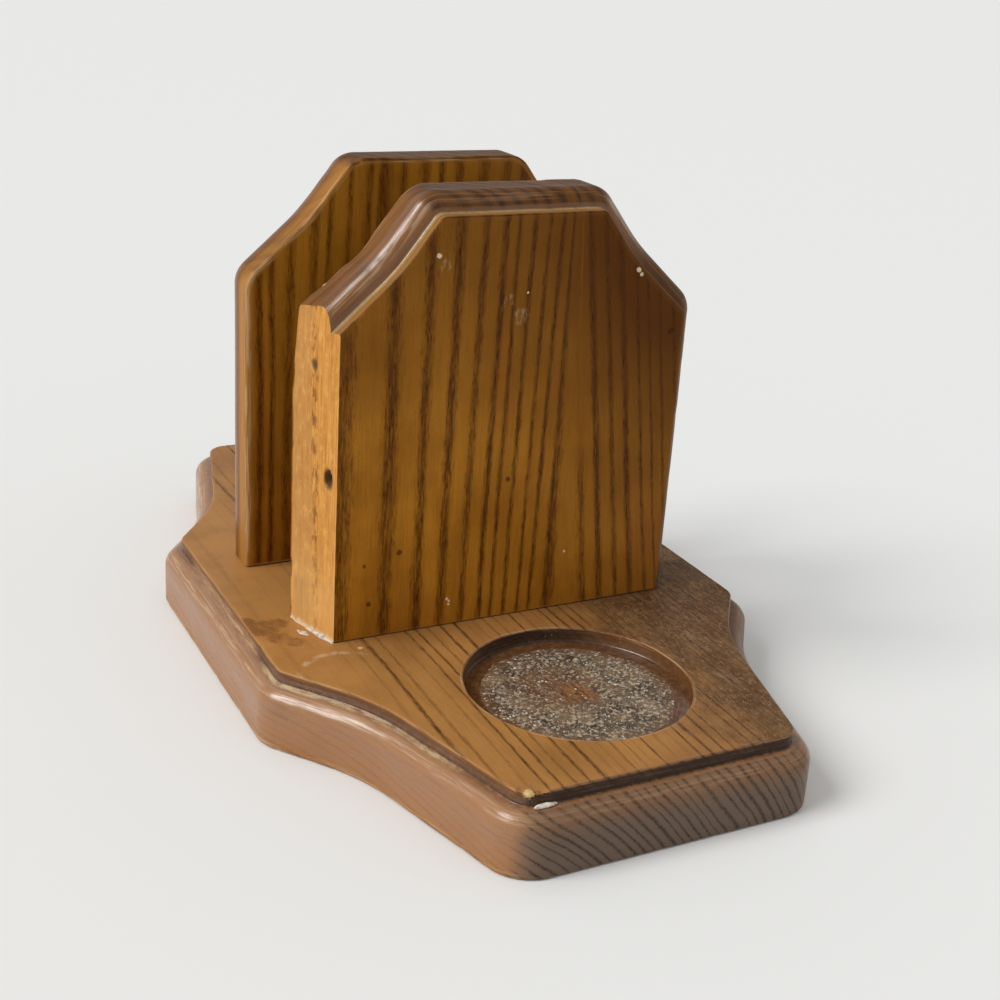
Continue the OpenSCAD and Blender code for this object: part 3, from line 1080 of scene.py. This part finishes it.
def front_marks(f, g, gloss, relief):
    x, _, z = g["place"]
    late = abs(g["number"] - LATE_STRIPE).smaller(1.0)
    faded = (1 - late) * g["stripe"] * z.between(56, 72) * 0.9
    f.paint(faded, f.mix(z.between(40, 130) * 0.6, PANEL_DYE["second"], PANEL_DYE["deep"]))
    f.paint(f.spots(g["place"], DARK_DOTS) * 0.7, seen(52, 28, 10))
    redder = x.between(0, 50) * (1 - z.between(20, 70))
    f.paint(redder * 0.35, seen(132, 76, 40))
    wipe = f.noise(x * 0.9, z * 0.35, 0.0, 4.0, 0.7).between(0.45, 0.65)
    f.paint(f.spots(g["place"], PALE_SMEARS) * wipe * 0.3, seen(206, 180, 140))
    chips = f.spots(g["place"], WHITE_CHIPS)
    f.paint(chips * 0.75, seen(236, 220, 190))
    return gloss, relief - chips * 0.5


front.data.materials.append(
    stained_wood(
        "front_stain",
        lambda f: wood_grain(f, "z", FRONT_PITH, front_rings, 7.7, 0.5, 0.12, front_lean),
        PANEL_DYE,
        front_shade,
        front_marks,
    )
)


# %% Rear panel
def rear_shade(f, g):
    x, y, z = g["place"]
    return f.noise(x / 40, y / 40, z / 60).between(0.4, 0.8) * 0.4 + 0.2


rear.data.materials.append(
    stained_wood(
        "rear_stain",
        lambda f: wood_grain(f, "z", (62.0, 78.0), even_rings(4.2), 12.3, 1.2, 0.2),
        {
            **PANEL_DYE,
            "stripe": seen(96, 50, 10),
            "pore": seen(66, 34, 6),
            "flank": seen(198, 140, 68),
            "shoulder": 0.3,
        },
        rear_shade,
    )
)

# %% [markdown]
# ## Raw wood on the split
# No stain reached the inside of the board, so the split shows pale yellow-orange wood with fine
# upright fibres and a mottle of darker and paler flakes. A broken brown seam, an opened row of
# pores, runs up it and drifts towards the rear as it rises; the part behind it is duller. There
# are two small dark knots, and white glue dust clings to the foot.

# %% Raw wood
SEAM_LEAN, SEAM_FOOT = 0.032, 0.42 * SPLIT_W
KNOT_AT, SMALL_KNOT_AT = (KNOT_ACROSS, KNOT_UP), (0.53 * SPLIT_W, 94.8)


def knot_mask(f, across, z, at, size, soft):
    """1 on a knot. at and size are (across, up), and soft is where it fades, in its own radii."""
    spot = f.vector((across - at[0]) / size[0], (z - at[1]) / size[1], 0.0)
    return 1 - f.measured("LENGTH", spot).between(*soft)


def raw_wood():
    f = Finish("raw_split_wood")
    x, y, z = f.place()
    offset = f.vector(x - SPLIT_FRONT.x, y - SPLIT_FRONT.y, 0.0)
    across = f.measured("DOT_PRODUCT", offset, tuple(split_along))
    up = z - BASE_T
    streak = f.noise(across * 1.6, up / 16, 0.0, 4.0, 0.6)
    f.colour = f.mix(streak.between(0.35, 0.7), seen(212, 148, 66), seen(186, 124, 50))
    seam_at = up * SEAM_LEAN + SEAM_FOOT + (f.noise(up / 7, 4.0, 0.0, 4.0) - 0.5) * 4.0
    behind = (across - seam_at).between(0.0, 2.5)
    f.paint(behind * 0.6, seen(180, 128, 68))
    dots = f.noise(across * 0.8, up / 3.6, 3.0, 4.0, 0.65).between(0.46, 0.6)
    seam = (1 - abs(across - seam_at).between(0.2, 2.2)) * dots
    f.paint(seam * 0.75, seen(112, 68, 26))
    mottle = f.noise(across / 2.0, up / 4.5, 9.0, 5.0, 0.7)
    f.paint(mottle.between(0.5, 0.66) * 0.45, seen(168, 108, 42))
    f.paint((1 - mottle.between(0.36, 0.46)) * 0.4, seen(232, 176, 92))
    pores = f.cells(across * 2.4, up / 3.0, 0.0)
    f.paint((1 - pores.between(0.05, 0.3)) * 0.3, seen(150, 96, 40))
    knot = knot_mask(f, across, z, KNOT_AT, (1.5, 2.3), (0.8, 1.6))
    f.paint(knot * 0.9, seen(52, 26, 10))
    small_knot = knot_mask(f, across, z, SMALL_KNOT_AT, (1.1, 1.5), (0.5, 1.4))
    f.paint(small_knot * 0.8, seen(84, 46, 22))
    f.paint((1 - across.between(0.0, 0.5)) * 0.5, seen(214, 156, 84))
    smudge = across.band(12.5, 16, 2.5) * up.band(4, 12, 5) * streak.between(0.3, 0.6)
    f.paint(smudge * 0.6, seen(116, 74, 34))
    f.paint((1 - up.between(4, 30)) * 0.5, seen(230, 176, 104))
    glued = (1 - (up + (f.noise(across / 2, 1.0, 0.0) - 0.5) * 4).between(0.2, 1.8)) * 0.7
    f.paint(glued, seen(226, 212, 184))
    return f.close(
        Base_Color=f.colour,
        Roughness=0.7,
        Normal=f.bump(streak - seam * 0.5, 0.5, 0.4),
        Specular_IOR_Level=0.3,
    )


front.data.materials.append(raw_wood())

# %% [markdown]
# ## Screws
# The four screws are hidden under the base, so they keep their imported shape. They get the dull
# zinc plating of ordinary wood screws.


# %% Zinc plate
def zinc_plate():
    f = Finish("dull_zinc")
    bloom = f.noise(*(part * 0.9 for part in f.place()), 4.0, 0.6)
    colour = f.mix(bloom.between(0.4, 0.7), seen(206, 200, 176), seen(150, 146, 132))
    gloss, dents = 0.32 + bloom * 0.25, f.bump(bloom, 0.2, 0.1)
    return f.close(Base_Color=colour, Metallic=1.0, Roughness=gloss, Normal=dents)


zinc = zinc_plate()
screw_nodes = [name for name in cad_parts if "screw" in name]
for name in screw_nodes:
    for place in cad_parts[name].material_slots:
        place.material = zinc
print("screws with zinc:", screw_nodes)

# %% [markdown]
# ## Crust in the front recess
# Something sticky stood in the front recess, dried and caught salt and crumbs. It is a thin gritty
# disc with a ragged border that stops short of the wall. The mesh is made of rings round the
# middle, whose heights come from three sizes of noise. The crust is thinnest in the middle, where
# its finish lets the wood show.

# %% Crust mesh
CRUST_R, CRUST_HOLE, CRUST_TURNS, CRUST_ROWS = 25.4, 0.6, 380, 66
CRUST_SINK = 0.05  # how far its rims go into the recess floor
crust_skin = Skin()
rows = []
for share in np.linspace(0, 1, CRUST_ROWS):
    row = []
    for a in np.linspace(0, 2 * math.pi, CRUST_TURNS, endpoint=False):
        way = Vector((math.cos(a), math.sin(a), 0))
        outer = CRUST_R + 1.1 * noise.noise(way * 3.1) + 0.5 * noise.noise(way * 14)
        inner = CRUST_HOLE + 0.3 * noise.noise(way * 1.7 + Vector((9, 0, 0)))
        r = inner + (outer - inner) * share
        p = way * r
        edge = min(1.0, 3 * share, 7 * (1 - share))
        coarse = noise.noise(p / 5 + Vector((0, 0, 4)))
        grit = noise.noise(p * 0.9) + 0.8 * noise.noise(p * 2.1)
        height = 0.02 + edge * max(0.03, 0.3 + 0.16 * coarse + 0.2 * grit)
        row.append((p.x, -RECESS_Y + p.y, floor_z + height))
    rows.append(row)
rows += [[(x, y, floor_z - CRUST_SINK) for x, y, _ in row] for row in (rows[-1], rows[0])]
crust_rings = [crust_skin.ring(row) for row in rows]
crust_skin.bridge_all(crust_rings + crust_rings[:1])
print("crust is closed:", crust_skin.closed())
crust = finished_object("recess_crust", crust_skin, smooth_below=60)


# %% Crust finish
def crust_finish():
    f = Finish("gritty_crust")
    x, y, z = f.place()
    patch = f.noise(x / 5, y / 5, z, 4.0, 0.65)
    flat = f.vector(x, y, 0.0)
    away = f.measured("DISTANCE", flat, (0.0, -RECESS_Y, 0.0))
    drift = f.measured("DISTANCE", flat, (-4.0, 4.0 - RECESS_Y, 0.0))
    brown = (1 - (drift + (patch - 0.5) * 16).between(5, 17)).larger(away.between(20, 25.5))
    f.colour = f.mix(patch.between(0.35, 0.65), seen(134, 112, 86), seen(60, 47, 35))
    pool = f.noise(x / 11, y / 11, 7.0).between(0.42, 0.62)
    f.paint(pool * 0.4, seen(64, 51, 40))
    f.paint(brown * 0.7, seen(112, 75, 46))
    grains = f.cells(x * 1.4, y * 1.4, z * 1.4)
    luck = f.parts(grains.also("Color"))[0]
    f.paint(luck.between(0.6, 0.95) * (0.7 - brown * 0.3), seen(204, 186, 158))
    slant_x, slant_y = x * 0.8 + y * 0.6, y * 0.8 - x * 0.6
    wiped = f.noise(slant_x * 0.55, slant_y * 1.7, z, 4.0, 0.65).between(0.54, 0.66)
    f.paint(wiped * (0.6 - brown * 0.4), seen(184, 178, 166))
    salt = f.flecks(x * 1.1, y * 1.1, z, 0.42, 0.12) * patch.between(0.4, 0.5)
    salt = salt.larger(f.noise(slant_x * 1.3, slant_y * 2.6, z, 4.0, 0.75).between(0.62, 0.67))
    f.paint(salt * 0.9, seen(240, 232, 214))
    bare = (1 - (away + (patch - 0.5) * 6).between(3.0, 7.0)) * (1 - salt)
    fibres = f.noise(x * 1.2, y / 6, 0.0, 3.0, 0.6).between(0.45, 0.62)
    f.paint(bare * 0.85, f.mix(fibres, seen(146, 100, 60), seen(86, 54, 33)))
    relief = f.bump(luck * 0.6 + (1 - grains) * 0.6 + wiped * 0.3, 0.8, 0.3)
    gloss = 0.4 - salt * 0.2
    return f.close(Base_Color=f.colour, Roughness=gloss, Normal=relief)


crust.data.materials.append(crust_finish())

# %% [markdown]
# ## Dried glue
# Whoever reset the panel left white glue: a bead along the foot of the split, a short smear beside
# it on the base, and a blob in the step at the front left corner of the base. Each is a low mound
# that runs along a short path.

# %% Glue mesh
glue_skin = Skin()
BEAD_STEPS = 14  # points round a bead


def bead(path, half_width, height, seed, ragged=0.6):
    """A low mound along a path of points, with a wandering width, closed at both ends."""
    count = len(path)
    rings = []
    for k, at in enumerate(path):
        along = (path[min(k + 1, count - 1)] - path[max(k - 1, 0)]).normalized()
        side = along.cross(Vector((0, 0, 1)))
        swell = math.sin(math.pi * (k + 0.5) / count) ** 0.6
        swell *= max(0.5, 0.9 + ragged * noise.noise(at / 2.2 + Vector((seed, 0, 0))))
        ring = []
        for a in np.linspace(0, 2 * math.pi, BEAD_STEPS, endpoint=False):
            lift = Vector((0, 0, height * max(-0.1, math.sin(a))))
            turn = Vector((math.cos(a), math.sin(a), seed))
            lump = 1 + 0.3 * ragged * noise.noise(at / 1.5 + turn)
            ring.append(at + (side * half_width * math.cos(a) + lift) * swell * lump)
        rings.append(glue_skin.ring(ring))
    glue_skin.bridge_all(rings)
    glue_skin.fan(rings[0], path[0])
    glue_skin.fan(rings[-1], path[-1])


foot = [
    SPLIT_FRONT + split_along * (SPLIT_W * share) + split_out * 0.15
    for share in np.linspace(-0.02, 0.62, 40)
]
bead(foot, 0.6, 0.9, 2.0)
smear = [Vector((-56.2 - 1.8 * s, -29.0 + 4.0 * s, BASE_T)) for s in np.linspace(0, 1, 24)]
bead(smear, 1.1, 0.3, 5.0)
blob = [Vector((-36.0 + 6.0 * s, -120.5, BASE_T - STEP + 0.2)) for s in np.linspace(0, 1, 30)]
bead(blob, 0.9, 1.2, 8.0, 0.7)
print("glue is closed:", glue_skin.closed())
glue = finished_object("dried_glue", glue_skin, smooth_below=70)


# %% Glue finish
def glue_finish():
    f = Finish("white_glue")
    x, y, z = f.place()
    dirt = f.noise(x * 0.9, y * 0.9, z * 0.9, 4.0, 0.6)
    colour = f.mix(dirt.between(0.42, 0.68), seen(222, 214, 200), seen(158, 140, 116))
    return f.close(Base_Color=colour, Roughness=0.45, Normal=f.bump(dirt, 0.4, 0.2))


glue.data.materials.append(glue_finish())

# %% [markdown]
# ## Which piece stands for what
# Each board's finer mesh hides the imported one. Every piece rides on the only body, and the name
# of its finish is printed.

# %% Replace and ride
for piece, node, slot in (
    (base, "base_board", "base_wood"),
    (front, "front_panel", "panel_wood"),
    (rear, "rear_panel", "panel_wood"),
    (crust, None, "dried_residue"),
    (glue, None, "dried_residue"),
):
    if node:
        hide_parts(node)
    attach(piece, "root")
    print(piece.name, "stands for", node or "no packed piece", "in slot", slot)

# %% [markdown]
# ## Floor, light and camera
# A plain pale floor, an even pale sky and one soft lamp high on the left, as in the photograph.
# The camera's place and lens were worked out from the object's own edges in the photograph.

# %% Stage
def stage_finish():
    f = Finish("pale_floor")
    return f.close(Base_Color=seen(236, 236, 234), Roughness=0.9)


FLOOR_SIZE, FLOOR_DROP = 8.0, 0.0002  # in metres
SKY_STRENGTH = 0.55

bpy.ops.mesh.primitive_plane_add(size=FLOOR_SIZE, location=(0, 0, -FLOOR_DROP))
floor = bpy.context.object
floor.name = "floor"
floor.data.materials.append(stage_finish())

world = bpy.data.worlds.new("studio")
world.use_nodes = True
sky = world.node_tree.nodes["Background"].inputs
sky["Color"].default_value = (1, 1, 1, 1)
sky["Strength"].default_value = SKY_STRENGTH
bpy.context.scene.world = world


def soft_sun(name, direction, spread, strength):
    """A sun whose light comes from a direction. A wider spread, in degrees, softens shadows."""
    lamp = bpy.data.lights.new(name, "SUN")
    lamp.angle, lamp.energy = math.radians(spread), strength
    holder = bpy.data.objects.new(name, lamp)
    holder.rotation_euler = Vector(direction).to_track_quat("Z", "Y").to_euler()
    bpy.context.scene.collection.objects.link(holder)


soft_sun("key", (-0.74, 0.05, 0.67), 30, 2.0)

# %% Camera
LENS_RATIO = 1.5218  # focal length over the picture's width
ROLL = 3.763  # how far the camera was tipped sideways, in degrees

camera = bpy.data.cameras.new("photo_view")
camera.sensor_width = 36.0
camera.lens = LENS_RATIO * camera.sensor_width
holder = bpy.data.objects.new("photo_view", camera)
bpy.context.scene.collection.objects.link(holder)
eye = Vector((-185.45, -372.96, 207.60)) * MM
aim = Vector((8.153, -12.283, 44.585)) * MM
back = (eye - aim).normalized()
turned = back.to_track_quat("Z", "Y").to_matrix() @ Matrix.Rotation(math.radians(ROLL), 3, "Z")
holder.matrix_world = Matrix.Translation(eye) @ turned.to_4x4()
camera.clip_start, camera.clip_end = 0.01, 50
bpy.context.scene.camera = holder
bpy.context.scene.view_settings.view_transform = "Standard"
print("camera is", round((eye - aim).length / MM), "mm from its aim, lens", round(camera.lens, 1))
